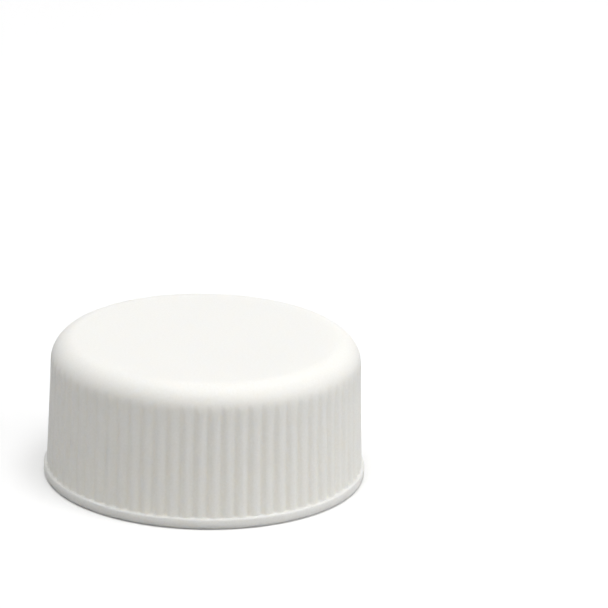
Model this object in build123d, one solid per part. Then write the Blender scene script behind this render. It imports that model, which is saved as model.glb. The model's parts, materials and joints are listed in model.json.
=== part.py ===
from build123d import *
from math import pi, radians, sin, tan
import os

# A septum screw cap: one moulded shell, closed on top, and one septum disc seated under its top.
# Millimetres. The cap stands on its open rim: the origin is the centre of the rim, and +Z runs
# up to the closed top. A flute is centred on +X.

# Walls, from the inside out
bore_radius = 10.05          # smooth wall between the thread's turns, clear of a 20 mm neck
skirt_wall = 1.08            # plastic left behind the flutes, at their foot
flute_depth = 0.20           # rib crest to flute bottom
band_step = 0.17             # how far the smooth band stands out past the rib crests

# Heights
cap_height = 10.2
band_height = 0.8            # smooth band round the open rim
top_wall = 1.2               # plastic over the septum

# Ribs
rib_count = 72
rib_crest_width = 0.14       # flat left along each rib's crest, at its foot
skirt_draft = 2.0            # degrees that the ribbed wall leans in, for release from the mould

# Rounded edges
shoulder_radius = 1.8        # between the ribbed wall and the flat top
rim_radius = 0.30            # outer edge of the rim
ledge_radius = 0.12          # outer edge of the ledge that the ribs stand on
lip_radius = 0.50            # inner edge of the rim, where the neck goes in
corner_radius = 0.40         # inside, between the wall and the ceiling

# Thread: one right-hand ridge, 8 turns to the inch
thread_pitch = 25.4 / 8
thread_height = 0.95         # how far the ridge stands in from the bore
thread_crest_width = 0.75
thread_crest_radius = 0.20   # rounding of the two crest corners
thread_flank_angle = 25.0    # degrees between each flank and the plane across the axis
thread_run_out = 35.0        # degrees between the wall and the sloped ends of the ridge
thread_entry = 1.9           # rim to the middle of the ridge, where it starts
thread_end_gap = 1.25        # ridge to septum, where it stops

# Septum disc
septum_thickness = 1.0
septum_overhang = 0.08       # how far its edge reaches behind the thread's crest, which holds it in
septum_edge_radius = 0.10

# Allowances for clean cuts
thread_sink = 0.25           # how deep the ridge is rooted in the wall
crest_trim = 0.02            # swept past the crest, then turned off true

# Places that follow from the sizes above
flute_floor_radius = bore_radius + skirt_wall
rib_crest_radius = flute_floor_radius + flute_depth
band_radius = rib_crest_radius + band_step
draft_slope = tan(radians(skirt_draft))
flank_slope = tan(radians(thread_flank_angle))
ceiling = cap_height - top_wall
septum_face = ceiling - septum_thickness
thread_crest = bore_radius - thread_height
thread_root_width = thread_crest_width + 2 * thread_height * flank_slope
thread_rise = septum_face - thread_end_gap - thread_root_width / 2 - thread_entry
septum_radius = thread_crest + septum_overhang

on_base = (Align.CENTER, Align.CENTER, Align.MIN)


def rounded(shape, edge_radius, height, by):
    """The turned shape with its round edge nearest this radius and height rounded over."""
    edges = shape.edges().filter_by(GeomType.CIRCLE)
    edge = min(edges, key=lambda e: abs(e.radius - edge_radius) + abs(e.center().Z - height))
    return fillet(edge, by)


def band():
    """The smooth band round the rim, with the lip that the neck goes in by and the ribs' ledge."""
    ring = Cylinder(band_radius, band_height, align=on_base)
    ring -= Cylinder(bore_radius, band_height, align=on_base)
    ring = rounded(ring, band_radius, 0, rim_radius)
    ring = rounded(ring, bore_radius, 0, lip_radius)
    return rounded(ring, band_radius, band_height, ledge_radius)


def flute_bars():
    """One round bar for each flute, leaning in with the draft so that the flute stays as deep."""
    half_chord = rib_crest_radius * sin(pi / rib_count) - rib_crest_width / 2
    bar_radius = (half_chord**2 + flute_depth**2) / (2 * flute_depth)
    bar = Rot(0, -skirt_draft, 0) * Cylinder(bar_radius, 2 * cap_height)
    at_foot = Pos(flute_floor_radius + bar_radius, 0, band_height) * bar
    return [Rot(0, 0, 360 * i / rib_count) * at_foot for i in range(rib_count)]


def ribbed_wall():
    """The wall and top above the band, with the flutes cut in and running out on the shoulder."""
    height = cap_height - band_height
    top_radius = rib_crest_radius - height * draft_slope
    block = rounded(Cone(rib_crest_radius, top_radius, height, align=on_base), top_radius, height, shoulder_radius)
    return Pos(0, 0, band_height) * block - flute_bars()


def bore():
    """The space inside the cap, up to its ceiling."""
    space = Cylinder(bore_radius, ceiling, align=on_base)
    return rounded(space, bore_radius, ceiling, corner_radius)


def run_out(azimuth, height, side):
    """A block that slopes one end of the ridge off into the wall; side is 1 to keep what lies ahead of it."""
    length = 2 * (thread_height + thread_sink) / sin(radians(thread_run_out))
    block = Pos(0, -side * length / 2, 0) * Box(2 * length, length, thread_pitch)
    at_wall = Pos(bore_radius + thread_sink, 0, height) * Rot(0, 0, side * (thread_run_out - 90))
    return Rot(0, 0, azimuth) * at_wall * block


def thread():
    """One right-hand ridge round the bore, with a true round crest and sloped ends."""
    crest_x = thread_crest - crest_trim
    crest_z = thread_crest_width / 2 - crest_trim * flank_slope
    root_x = bore_radius + thread_sink
    root_z = thread_root_width / 2 + thread_sink * flank_slope
    outline = Polyline((crest_x, crest_z), (root_x, root_z), (root_x, -root_z), (crest_x, -crest_z), close=True)
    section = make_face(outline)
    section = fillet(section.vertices().group_by(Axis.X)[0], thread_crest_radius)
    ridge = sweep(Plane.XZ * section, path=Helix(thread_pitch, thread_rise, bore_radius), is_frenet=True)
    ridge -= run_out(0, 0, 1)
    ridge -= run_out(360 * thread_rise / thread_pitch, thread_rise, -1)
    ridge -= Cylinder(thread_crest, 2 * cap_height)
    return Pos(0, 0, thread_entry) * ridge


def cap_shell():
    """The moulded cap, in one piece."""
    return band() + (ribbed_wall() - bore()) + thread()


def septum_disc():
    """The flat disc that seals the neck, face to face with the ceiling."""
    disc = Cylinder(septum_radius, septum_thickness, align=on_base)
    disc = rounded(disc, septum_radius, 0, septum_edge_radius)
    disc = rounded(disc, septum_radius, septum_thickness, septum_edge_radius)
    return Pos(0, 0, septum_face) * disc


os.makedirs("parts", exist_ok=True)
export_step(cap_shell(), "parts/cap_shell.step")
export_step(septum_disc(), "parts/septum_disc.step")
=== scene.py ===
# %% [markdown]
# # A septum screw cap
# The cap closes a small laboratory bottle or vial. It is one white moulding with fine ribs for
# the fingers, a smooth band round its open rim and a thread inside. A flat rubber disc, the
# septum, lies against its ceiling and seals the bottle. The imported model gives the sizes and
# places. Here the cap gets its soft edges, its finishes, a floor, lights and a camera.

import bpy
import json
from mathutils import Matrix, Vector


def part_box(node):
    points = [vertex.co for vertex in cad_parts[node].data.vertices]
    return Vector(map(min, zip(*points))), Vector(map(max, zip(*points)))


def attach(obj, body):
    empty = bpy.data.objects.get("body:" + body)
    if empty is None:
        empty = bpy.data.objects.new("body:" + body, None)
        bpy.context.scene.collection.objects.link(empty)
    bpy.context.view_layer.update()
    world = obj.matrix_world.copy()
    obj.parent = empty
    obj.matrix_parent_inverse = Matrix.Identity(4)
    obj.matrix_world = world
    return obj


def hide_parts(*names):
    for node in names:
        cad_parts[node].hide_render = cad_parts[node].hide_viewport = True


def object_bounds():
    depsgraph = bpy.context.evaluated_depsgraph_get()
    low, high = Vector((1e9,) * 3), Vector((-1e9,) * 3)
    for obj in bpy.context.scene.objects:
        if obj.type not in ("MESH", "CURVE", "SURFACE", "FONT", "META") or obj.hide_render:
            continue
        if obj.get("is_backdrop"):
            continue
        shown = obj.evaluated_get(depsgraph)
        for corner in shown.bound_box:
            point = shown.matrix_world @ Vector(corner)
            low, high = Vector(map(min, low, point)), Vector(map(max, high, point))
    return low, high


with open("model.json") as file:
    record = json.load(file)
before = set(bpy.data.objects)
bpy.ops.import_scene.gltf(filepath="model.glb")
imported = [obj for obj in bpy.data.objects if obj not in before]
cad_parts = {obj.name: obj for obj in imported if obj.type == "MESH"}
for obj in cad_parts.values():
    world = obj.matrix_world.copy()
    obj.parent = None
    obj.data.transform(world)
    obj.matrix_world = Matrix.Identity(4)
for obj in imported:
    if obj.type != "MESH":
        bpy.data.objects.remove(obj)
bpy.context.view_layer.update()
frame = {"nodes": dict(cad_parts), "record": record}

# %% [markdown]
# ## Sizes
# Blender works in metres, and this cap is 23 mm across, so every size is written as a number of
# millimetres. The outer sizes, the thread's crest and the septum's face are read from the packed
# model, so that this script can't drift away from it.

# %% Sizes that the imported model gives
mm = 0.001
shell_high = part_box("cap_shell")[1]
disc_low, disc_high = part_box("septum_disc")
mounts = {mount["name"]: mount for mount in frame["record"]["mounts"]}

band_radius = min(shell_high.x, shell_high.y)
cap_height = shell_high.z
ceiling = disc_high.z
septum_face = disc_low.z
septum_radius = disc_high.x
thread_crest = mounts["neck_thread"]["dims"]["r_mm"] * mm
print("band radius, height and ceiling, mm:", band_radius / mm, cap_height / mm, ceiling / mm)

# %% [markdown]
# ## Camera
# A long lens from 14 diameters away keeps the ellipses of the top and the rim nearly parallel, as
# in a catalogue picture. The camera could be placed by hand, but three angles say more clearly
# what it does: how far it stands round to the side, how high it looks from, and how much it
# leans. The cap sits low on the left, so the camera is then turned until the middle of the rim
# lands on a named pixel.

# %% Camera
import bpy
from math import ceil, cos, floor, pi, radians, sin, tan
from mathutils import Quaternion, Vector

picture_side = 608                    # pixels
sensor_width = 36.0                   # the camera's own millimetres
focal_pixels = 4474                   # the lens's length in pixels of the picture
rim_centre_pixel = (204.1, 470.8)     # from the picture's top left corner
camera_distance = 14 * 2 * band_radius
camera_side = radians(-1.21)
camera_rise = radians(21.08)
camera_lean = radians(0.95)

towards_camera = Vector((
    sin(camera_side) * cos(camera_rise),
    -cos(camera_side) * cos(camera_rise),
    sin(camera_rise),
))
forward = Vector((0, 0, -1))
rim_centre_way = Vector((
    rim_centre_pixel[0] - picture_side / 2,
    picture_side / 2 - rim_centre_pixel[1],
    -focal_pixels,
))

camera = bpy.data.objects.new("camera", bpy.data.cameras.new("camera"))
camera.data.sensor_width = sensor_width
camera.data.lens = focal_pixels * sensor_width / picture_side
camera.data.clip_start = 0.01
camera.data.clip_end = 10
camera.location = camera_distance * towards_camera
camera.rotation_mode = "QUATERNION"
camera.rotation_quaternion = (
    (-towards_camera).to_track_quat("-Z", "Y")
    @ Quaternion((0, 0, 1), camera_lean)
    @ rim_centre_way.rotation_difference(forward)
)
bpy.context.scene.collection.objects.link(camera)
bpy.context.scene.camera = camera
print("lens, mm:", round(camera.data.lens, 1))

# %% [markdown]
# ## Helpers for finishes
# A shader works in linear light, but colours are easier to compare as the sRGB hex codes that a
# paint program shows, so one function turns the one into the other. Another adds a node with its
# options, and fills or links its sockets.

# %% Helpers for finishes
def linear(hex_code):
    """The linear colour of an sRGB hex code, with full alpha."""
    parts = [int(hex_code[i:i + 2], 16) / 255 for i in (0, 2, 4)]
    return [p / 12.92 if p <= 0.04045 else ((p + 0.055) / 1.055) ** 2.4 for p in parts] + [1]


def add_node(material, kind, sockets, **options):
    """Adds one node. Each socket gets a number or colour, or is linked to another node's output."""
    node = material.node_tree.nodes.new(kind)
    for name, value in options.items():
        setattr(node, name, value)
    for name, value in sockets.items():
        if isinstance(value, bpy.types.NodeSocket):
            material.node_tree.links.new(value, node.inputs[name])
        else:
            node.inputs[name].default_value = value
    return node


def new_material(name):
    """An empty material with only its output node."""
    material = bpy.data.materials.new(name)
    material.use_nodes = True
    material.node_tree.nodes.clear()
    return material

# %% [markdown]
# ## Floor
# The cap stands on a sheet of white paper. A plane would do, but it would cover the cap's mouth
# when the cap is looked at from below. So the sheet has a round opening under the mouth, hidden
# by the rim, which lets light in, and its underside lets the camera see through. Two whites and a
# faint glow keep the sheet pale to the camera, while the light that it bounces stays soft.

# %% Floor
import bmesh

sheet_radius = 1.5
opening_radius = band_radius - 0.6 * mm
sheet_corners = 128

sheet_mesh = bmesh.new()
rings = []
for radius in (opening_radius, sheet_radius):
    turns = [2 * pi * i / sheet_corners for i in range(sheet_corners)]
    rings.append([sheet_mesh.verts.new((radius * cos(t), radius * sin(t), 0)) for t in turns])
for i in range(sheet_corners):
    j = (i + 1) % sheet_corners
    sheet_mesh.faces.new((rings[0][i], rings[1][i], rings[1][j], rings[0][j]))
sheet = bpy.data.objects.new("paper_sheet", bpy.data.meshes.new("paper_sheet"))
sheet_mesh.to_mesh(sheet.data)
sheet_mesh.free()
bpy.context.scene.collection.objects.link(sheet)
sheet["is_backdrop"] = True

paper_glow = 0.12
white_paper = new_material("white_paper")
path = add_node(white_paper, "ShaderNodeLightPath", {})
shade = add_node(white_paper, "ShaderNodeMix", {
    0: path.outputs["Is Camera Ray"],
    6: linear("D4D4D4"),
    7: linear("F4F4F4"),
}, data_type="RGBA")
diffuse = add_node(white_paper, "ShaderNodeBsdfDiffuse", {"Color": shade.outputs[2]})
lift = add_node(white_paper, "ShaderNodeMath", {
    0: path.outputs["Is Camera Ray"],
    1: paper_glow,
}, operation="MULTIPLY")
glow = add_node(white_paper, "ShaderNodeEmission", {"Strength": lift.outputs[0]})
paper = add_node(white_paper, "ShaderNodeAddShader", {0: diffuse.outputs[0], 1: glow.outputs[0]})
see_through = add_node(white_paper, "ShaderNodeBsdfTransparent", {})
side = add_node(white_paper, "ShaderNodeNewGeometry", {})
either = add_node(white_paper, "ShaderNodeMixShader", {"Fac": side.outputs["Backfacing"]})
white_paper.node_tree.links.new(paper.outputs[0], either.inputs[1])
white_paper.node_tree.links.new(see_through.outputs[0], either.inputs[2])
add_node(white_paper, "ShaderNodeOutputMaterial", {"Surface": either.outputs[0]})
sheet.data.materials.append(white_paper)
print("floor faces:", len(sheet.data.polygons))

# %% [markdown]
# ## Light
# White on white shows its form only through soft shading. The sky is plain white to the camera and
# in reflections, and a weaker white as a light, so that it fills the shadows gently. A large
# square lamp overhead makes the top the brightest face. A weak, wider one on the right makes the
# ribbed wall darken slowly towards the left. The rest of the wall's light is bounced up by the
# paper. A single small lamp would be simpler, but it would draw the ribs as hard stripes. The sky
# is brighter below the horizon, where only the inside of the cap can see it, so that the thread and
# the septum show when the cap is looked at from below.

# %% Light
lamp_distance = 1.0


def softbox(name, side, rise, size, brightness):
    """A square lamp, placed by its angles in degrees: round from the front to the right, and up.
    Brightness is how white it makes a white card that faces it, where 1 is full white."""
    side, rise = radians(side), radians(rise)
    place = Vector((sin(side) * cos(rise), -cos(side) * cos(rise), sin(rise))) * lamp_distance
    lamp = bpy.data.objects.new(name, bpy.data.lights.new(name, "AREA"))
    lamp.data.size = size
    lamp.data.energy = brightness * (pi * lamp_distance)**2
    lamp.location = place
    lamp.rotation_mode = "QUATERNION"
    lamp.rotation_quaternion = (-place).to_track_quat("-Z", "Y")
    bpy.context.scene.collection.objects.link(lamp)


softbox("lamp_above", 0, 84, 0.80, 0.99)
softbox("lamp_right", 75, 30, 0.9, 0.34)

sky_fill = 0.08                 # from above
under_fill = 0.6                # from below
horizon = 0.05                  # half the height over which the one blends into the other
sky = bpy.data.worlds.new("white_sky")
sky.use_nodes = True
sky.node_tree.nodes.clear()
path = add_node(sky, "ShaderNodeLightPath", {})
seen = add_node(sky, "ShaderNodeMath", {
    0: path.outputs["Is Camera Ray"],
    1: path.outputs["Is Glossy Ray"],
}, operation="MAXIMUM")
seen = add_node(sky, "ShaderNodeMath", {
    0: seen.outputs[0],
    1: path.outputs["Is Transmission Ray"],
}, operation="MAXIMUM")
direction = add_node(sky, "ShaderNodeTexCoord", {})
axes = add_node(sky, "ShaderNodeSeparateXYZ", {0: direction.outputs["Generated"]})
fill = add_node(sky, "ShaderNodeMapRange", {
    "Value": axes.outputs["Z"],
    "From Min": -horizon,
    "From Max": horizon,
    "To Min": under_fill,
    "To Max": sky_fill,
})
strength = add_node(sky, "ShaderNodeMapRange", {
    "Value": seen.outputs[0],
    "To Min": fill.outputs[0],
    "To Max": 1,
})
white = add_node(sky, "ShaderNodeBackground", {"Color": linear("FFFFFF"), "Strength": strength.outputs[0]})
add_node(sky, "ShaderNodeOutputWorld", {"Surface": white.outputs[0]})
bpy.context.scene.world = sky
bpy.context.scene.view_settings.view_transform = "Standard"

# %% [markdown]
# ## The moulded shell
# The shell is injection moulded in one shot, so every corner is softly rounded and the ribs fade
# out on the shoulder. A ready-made cylinder with a bump map would lose the ribs at its outline.
# Cutting 72 grooves with Boolean modifiers would leave ragged edges. Instead the wall is built
# row by row, as on a lathe: each row is a ring of points, and a rule pushes a point in where a
# flute or the thread passes. First come the driving sizes.

# %% Sizes of the shell
# Walls
bore_radius = 10.05 * mm
skirt_wall = 1.08 * mm
flute_depth = 0.20 * mm
band_height = 0.8 * mm
# Ribs
rib_count = 72
draft_slope = tan(radians(2))          # the wall leans in by two degrees, for release
# Rounded edges
shoulder_radius = 1.8 * mm
rim_radius = 0.30 * mm
ledge_radius = 0.12 * mm
lip_radius = 0.50 * mm
corner_radius = 0.40 * mm
# Thread
thread_pitch = 25.4 / 8 * mm
thread_height = bore_radius - thread_crest
thread_crest_width = 0.75 * mm
thread_flank_slope = tan(radians(25))
thread_end_slope = tan(radians(35))
thread_sink = 0.25 * mm                # the sloped ends start this deep in the wall
thread_entry = 1.9 * mm
thread_end_gap = 1.25 * mm

flute_floor_radius = bore_radius + skirt_wall
rib_crest_radius = flute_floor_radius + flute_depth
rib_pitch = 2 * pi / rib_count
print("rib crest radius, mm:", round(rib_crest_radius / mm, 3))

# %% [markdown]
# ### Rules that shape a ring
# A cutter leaves a sharp corner where two surfaces meet, but molten plastic rounds it. The usual
# way to round is a bevel modifier, which struggles on thousands of narrow faces. Here the corner
# is rounded in the rule itself: where two sizes come close, the smaller one is eased. The
# flutes themselves follow a cosine wave, which has no corner at all. Towards the shoulder they
# grow shallower, because the cutter that made the mould left the wall in a long arc.

# %% Rules that shape a ring
rib_softness = 0.20 * mm
flute_reach = 1.3               # in flute depths: the wave passes the crest, which flattens it
run_out_start = 6.5 * mm        # above this height the flutes grow shallower
run_out_radius = 15 * mm        # of the cutter's arc as it leaves the wall
thread_softness = 0.22 * mm


def eased_min(one, other, softness):
    """The smaller of two sizes, with the corner between them rounded over."""
    share = min(max(0.5 + (other - one) / (2 * softness), 0), 1)
    return other + (one - other) * share - softness * share * (1 - share)


def wall_with_flutes(radius, height, turn):
    """The radius of the outside at this height and angle, after the flutes are taken out."""
    wave = (1 - cos(rib_count * turn)) / 2
    lift = max(height - run_out_start, 0)**2 / (2 * run_out_radius)
    floor_here = flute_floor_radius - (height - band_height) * draft_slope + lift
    flute = floor_here + flute_reach * flute_depth * wave
    return eased_min(radius, flute, rib_softness)

# %% [markdown]
# ### Rows and how they join
# All points go into one list, and a ring is the list of its points' numbers. Two rings are sewn
# together with one face for each point of the smaller ring. If the larger ring has four times as
# many points, each face takes four of its edges, so fine rows can meet coarse ones on flat ground.

# %% Rows and how they join
points = []
faces = []


def add_ring(turns, radii, heights):
    """Adds a ring of points, one for each turn, and gives back their numbers."""
    first = len(points)
    points.extend((r * cos(t), r * sin(t), h) for t, r, h in zip(turns, radii, heights))
    return list(range(first, len(points)))


def sew(large, small):
    """Joins two rings with faces; the first has the same number of points, or a multiple of it."""
    times = len(large) // len(small)
    for i in range(len(small)):
        edge = [large[(i * times + k) % len(large)] for k in range(times + 1)]
        faces.append((*edge, small[(i + 1) % len(small)], small[i]))


def sew_all(rings):
    """Joins each ring to the next."""
    for one, other in zip(rings, rings[1:]):
        sew(one, other)


def arc(centre, radius, start, end, steps):
    """Points (radius from the axis, height) along a rounded edge, between two angles in degrees."""
    turns = [radians(start + (end - start) * i / steps) for i in range(steps + 1)]
    return [(centre[0] + radius * cos(t), centre[1] + radius * sin(t)) for t in turns]

# %% [markdown]
# ### Outside
# From the rim up, the outline is a round edge, the band, the ledge, the ribbed wall and the
# shoulder. A round-nosed cutter left each flute with a small scoop at its foot, which catches the
# light from above. Points are crowded towards the crests, where the wall turns fastest, and rows
# are close together in the scoops and on the shoulder, where the flutes run out.

# %% Outside
points_per_rib = 16
crowding = 0.5                  # from 0, evenly spaced, up to 1


def rib_turns():
    """Angles round the outside, crowded towards the crest of each rib."""
    turns = []
    for rib in range(rib_count):
        for i in range(points_per_rib):
            share = i / points_per_rib - 0.5
            eased = share + crowding * sin(2 * pi * share) / (2 * pi)
            turns.append((rib + eased) * rib_pitch)
    return turns


straight_rows = 2
run_out_rows = 7
scoop_radius = 0.14 * mm
shoulder_tilt = 2.0                       # degrees, where the leaning wall meets the shoulder
flutes_end = 36                           # degrees up the shoulder, well past the last of the flutes
shoulder_top = cap_height - shoulder_radius
wall_top = shoulder_top + shoulder_radius * sin(radians(shoulder_tilt))
wall_top_radius = rib_crest_radius - (wall_top - band_height) * draft_slope
shoulder_middle = (wall_top_radius - shoulder_radius * cos(radians(shoulder_tilt)), shoulder_top)

outside_turns = rib_turns()
smooth_rows = arc((band_radius - rim_radius, rim_radius), rim_radius, -90, 0, 6)
smooth_rows += arc((band_radius - ledge_radius, band_height - ledge_radius), ledge_radius, 0, 90, 5)
outside = []
for radius, height in smooth_rows:
    count = len(outside_turns)
    outside.append(add_ring(outside_turns, [radius] * count, [height] * count))

ribbed_rows = []
for out, up in arc((scoop_radius, scoop_radius), scoop_radius, 270, 180, 6):
    ribbed_rows.append((rib_crest_radius - up * draft_slope, band_height + up, out))
for low, high, steps in [
    (band_height + scoop_radius, run_out_start, straight_rows),
    (run_out_start, wall_top, run_out_rows),
]:
    for i in range(1, steps + 1):
        height = low + (high - low) * i / steps
        ribbed_rows.append((rib_crest_radius - (height - band_height) * draft_slope, height, 0))
shoulder = arc(shoulder_middle, shoulder_radius, shoulder_tilt, flutes_end, 20)[1:]
shoulder += arc(shoulder_middle, shoulder_radius, flutes_end, 90, 12)[1:]
for radius, height in shoulder:
    ribbed_rows.append((radius, height, 0))
for radius, height, out in ribbed_rows:
    radii = [wall_with_flutes(radius, height, turn) for turn in outside_turns]
    radii = [r + out * (radius - r) / flute_depth for r in radii]
    outside.append(add_ring(outside_turns, radii, [height] * len(radii)))
sew_all(outside)
print("outside rows:", len(outside), "of", len(outside_turns), "points")

# %% [markdown]
# ### Flat faces
# The top and the ceiling are flat, so they need few points. Each ring inwards has a quarter or a
# third of the points of the one before, and the last one closes on a point in the middle.

# %% Flat faces
def close_over(ring, height, radii, turns):
    """Fills the flat inside of a ring with ever smaller rings and one middle point.
    Each new ring is given by its radius and by how many times fewer points it has."""
    for radius, times in radii:
        turns = turns[::times]
        smaller = add_ring(turns, [radius] * len(turns), [height] * len(turns))
        sew(ring, smaller)
        ring = smaller
    middle = len(points)
    points.append((0, 0, height))
    for i, number in enumerate(ring):
        faces.append((number, ring[(i + 1) % len(ring)], middle))


top_rings = [(8.9 * mm, 1), (8.4 * mm, 4), (6 * mm, 3), (3 * mm, 3)]
close_over(outside[-1], cap_height, top_rings, outside_turns)

# %% [markdown]
# ### Inside
# The inside is smooth apart from its thread, so a quarter of the points will do. From the rim up
# it has the round lip, the bore with the thread, a rounded corner and the ceiling.

# %% Inside
inside_count = len(outside_turns) // 4
inside_turns = [outside_turns[0] + 2 * pi * i / inside_count for i in range(inside_count)]


def plain_rings(outline):
    """Rings without flutes or thread, along an outline of (radius, height) points."""
    return [add_ring(inside_turns, [r] * inside_count, [h] * inside_count) for r, h in outline]


lip = plain_rings(arc((bore_radius + lip_radius, lip_radius), lip_radius, -90, -180, 8))
corner = plain_rings(arc((bore_radius - corner_radius, ceiling - corner_radius), corner_radius, 0, 90, 8))
sew(outside[0], lip[0])
sew_all(lip)
sew_all(corner)
ceiling_rings = [(9.4 * mm, 1), (8 * mm, 4), (4 * mm, 3)]
close_over(corner[-1], ceiling, ceiling_rings, inside_turns)

# %% [markdown]
# ### Thread
# The thread is a ridge that climbs one pitch for each turn. Level rows would cross it at a slant
# and make its edges ripple, so the bore's rows climb with it: a row ends one pitch higher than it
# began, where another row takes over. Rows that would pass the lip or the corner are held there,
# and their doubled points are merged afterwards.

# %% Thread
rows_per_pitch = 30
bore_low = lip_radius
bore_high = ceiling - corner_radius
snap = 0.03 * mm                # a row this close to either end is held there
thread_root_width = thread_crest_width + 2 * thread_height * thread_flank_slope
thread_rise = septum_face - thread_end_gap - thread_root_width / 2 - thread_entry
thread_length = 2 * pi * bore_radius * thread_rise / thread_pitch


def ridge(across, along):
    """How far the thread stands in, at this distance across it and along it from its start."""
    flank = (thread_root_width / 2 - abs(across)) / thread_flank_slope
    start = along * thread_end_slope - thread_sink
    end = (thread_length - along) * thread_end_slope - thread_sink
    height = thread_height
    for slope in (flank, start, end):
        height = eased_min(height, slope, thread_softness)
    return -eased_min(-height, 0, thread_softness / 2)


def bore_point(turn, row):
    """The radius and height of one point of the bore."""
    lap = round(row / rows_per_pitch)
    across = (row / rows_per_pitch - lap) * thread_pitch
    height = thread_entry + thread_pitch * (turn / (2 * pi) + row / rows_per_pitch)
    along = bore_radius * (turn + 2 * pi * lap)
    if height < bore_low + snap:
        return bore_radius, bore_low
    if height > bore_high - snap:
        return bore_radius, bore_high
    return bore_radius - ridge(across, along), height


lowest_row = floor((bore_low - thread_entry) / thread_pitch * rows_per_pitch) - rows_per_pitch
highest_row = ceil((bore_high - thread_entry) / thread_pitch * rows_per_pitch) + 1
row_at = {}
for row in range(lowest_row, highest_row + 1):
    radii, heights = zip(*[bore_point(turn, row) for turn in inside_turns])
    row_at[row] = add_ring(inside_turns, radii, heights)
for row in range(lowest_row, highest_row):
    for i in range(inside_count - 1):
        faces.append((row_at[row][i], row_at[row][i + 1], row_at[row + 1][i + 1], row_at[row + 1][i]))
    if row + rows_per_pitch < highest_row:
        last = (row_at[row][-1], row_at[row + 1][-1])
        next_lap = (row_at[row + rows_per_pitch + 1][0], row_at[row + rows_per_pitch][0])
        faces.append((last[0], next_lap[1], next_lap[0], last[1]))
print("thread turns:", round(thread_rise / thread_pitch, 2), "rows in the bore:", len(row_at))

# %% [markdown]
# ### Shell object
# The list of points and faces becomes a mesh. Doubled points are merged, which also drops the
# faces that were held flat at the lip and the corner, and all faces are turned outwards.

# %% Shell object
merge_distance = 0.0005 * mm

shell_mesh = bpy.data.meshes.new("moulded_shell")
shell_mesh.from_pydata(points, [], faces)
work = bmesh.new()
work.from_mesh(shell_mesh)
bmesh.ops.remove_doubles(work, verts=work.verts, dist=merge_distance)
bmesh.ops.recalc_face_normals(work, faces=work.faces)
open_edges = [edge for edge in work.edges if not edge.is_manifold]
work.to_mesh(shell_mesh)
work.free()
shell_mesh.shade_smooth()

shell = bpy.data.objects.new("moulded_shell", shell_mesh)
bpy.context.scene.collection.objects.link(shell)
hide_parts("cap_shell")
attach(shell, "root")
shell_mesh.calc_loop_triangles()
print("shell triangles:", len(shell_mesh.loop_triangles), "open edges:", len(open_edges))

# %% [markdown]
# ## White polypropylene
# The shell is moulded polypropylene, filled with white pigment. The mould is spark eroded, which
# leaves a fine matte grain. The plastic lets light about a millimetre in before it scatters it back,
# so its shadows are soft. A plain white colour would look like plaster. The scattering, a broad soft
# gloss that varies a little and a fine grain make it plastic.

# %% White polypropylene
polypropylene_ior = 1.49
grain_size = 0.15 * mm          # the real grain is near 0.03 mm, drawn coarser so that it shows
grain_depth = 0.004 * mm
flow_size = 3 * mm              # the gloss varies faintly where the melt flowed
glossiest = 0.50                # as roughness
dullest = 0.62

moulded_polypropylene = new_material("moulded_white_polypropylene")
place = add_node(moulded_polypropylene, "ShaderNodeTexCoord", {})
grain = add_node(moulded_polypropylene, "ShaderNodeTexNoise", {
    "Vector": place.outputs["Object"],
    "Scale": 1 / grain_size,
    "Detail": 2,
    "Roughness": 0.6,
})
flow = add_node(moulded_polypropylene, "ShaderNodeTexNoise", {
    "Vector": place.outputs["Object"],
    "Scale": 1 / flow_size,
    "Detail": 2,
    "Roughness": 0.5,
})
tint = add_node(moulded_polypropylene, "ShaderNodeMix", {
    0: grain.outputs["Fac"],
    6: linear("EEECE6"),
    7: linear("F9F8F4"),
}, data_type="RGBA")
gloss = add_node(moulded_polypropylene, "ShaderNodeMapRange", {
    "Value": flow.outputs["Fac"],
    "To Min": glossiest,
    "To Max": dullest,
})
relief = add_node(moulded_polypropylene, "ShaderNodeBump", {
    "Height": grain.outputs["Fac"],
    "Distance": grain_depth,
    "Strength": 0.5,
})
plastic = add_node(moulded_polypropylene, "ShaderNodeBsdfPrincipled", {
    "Base Color": tint.outputs[2],
    "Roughness": gloss.outputs[0],
    "Normal": relief.outputs[0],
    "IOR": polypropylene_ior,
    "Subsurface Weight": 1.0,
    "Subsurface Radius": (1.0, 0.95, 0.87),
    "Subsurface Scale": 1.1 * mm,
})
add_node(moulded_polypropylene, "ShaderNodeOutputMaterial", {"Surface": plastic.outputs[0]})
shell.data.materials.append(moulded_polypropylene)
print("shell finish:", shell.data.materials[0].name)

# %% [markdown]
# ## Silicone rubber
# The septum is a disc punched from a sheet of warm grey silicone rubber. The sheet is dusted and
# dull, so its gloss is very weak. Its punched edge is painted a lighter cream, a painted highlight
# where the edge catches the light. The imported disc already has the right form, so it only gets
# this finish.

# %% Silicone rubber
silicone_ior = 1.41
dust_size = 0.12 * mm           # drawn coarser than the real powder so that it shows
dust_depth = 0.005 * mm
cloud_size = 2.5 * mm           # of the faint clouds in the rubber's colour
# width of the painted highlight on the punched edge
edge_highlight_width = 0.12 * mm

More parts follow.
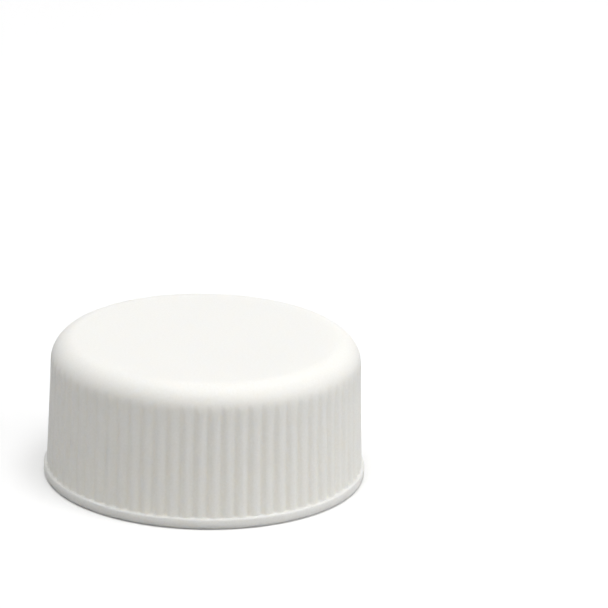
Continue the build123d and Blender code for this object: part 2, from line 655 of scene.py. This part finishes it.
silicone_rubber = new_material("calendered_silicone_rubber")
place = add_node(silicone_rubber, "ShaderNodeTexCoord", {})
dust = add_node(silicone_rubber, "ShaderNodeTexNoise", {
    "Vector": place.outputs["Object"],
    "Scale": 1 / dust_size,
    "Detail": 2,
    "Roughness": 0.6,
})
cloud = add_node(silicone_rubber, "ShaderNodeTexNoise", {
    "Vector": place.outputs["Object"],
    "Scale": 1 / cloud_size,
    "Detail": 3,
    "Roughness": 0.5,
})
axes = add_node(silicone_rubber, "ShaderNodeSeparateXYZ", {0: place.outputs["Object"]})
flat = add_node(silicone_rubber, "ShaderNodeCombineXYZ", {"X": axes.outputs["X"], "Y": axes.outputs["Y"]})
reach = add_node(silicone_rubber, "ShaderNodeVectorMath", {0: flat.outputs[0]}, operation="LENGTH")
# Painted highlight: the outermost ring of the disc is mixed towards a light cream, where the punched edge
# catches the light
painted_highlight_share = add_node(silicone_rubber, "ShaderNodeMapRange", {
    "Value": reach.outputs["Value"],
    "From Min": septum_radius - edge_highlight_width,
    "From Max": septum_radius - edge_highlight_width / 2,
})
face = add_node(silicone_rubber, "ShaderNodeMix", {
    0: cloud.outputs["Fac"],
    6: linear("C9C5BA"),
    7: linear("CFCBC1"),
}, data_type="RGBA")
tone = add_node(silicone_rubber, "ShaderNodeMix", {
    0: painted_highlight_share.outputs[0],
    6: face.outputs[2],
    7: linear("E6DFCE"),
}, data_type="RGBA")
relief = add_node(silicone_rubber, "ShaderNodeBump", {
    "Height": dust.outputs["Fac"],
    "Distance": dust_depth,
    "Strength": 0.5,
})
rubber = add_node(silicone_rubber, "ShaderNodeBsdfPrincipled", {
    "Base Color": tone.outputs[2],
    "Roughness": 0.75,
    "Normal": relief.outputs[0],
    "IOR": silicone_ior,
})
add_node(silicone_rubber, "ShaderNodeOutputMaterial", {"Surface": rubber.outputs[0]})
septum = frame["nodes"]["septum_disc"]
septum.material_slots[0].material = silicone_rubber
print("septum finish:", septum.material_slots[0].material.name)

# %% [markdown]
# The dressed cap must fill the same box as the CAD model, so its box is printed here.

import json

low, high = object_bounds()
print("visual box, mm:", [round(1000 * side, 3) for side in high - low])
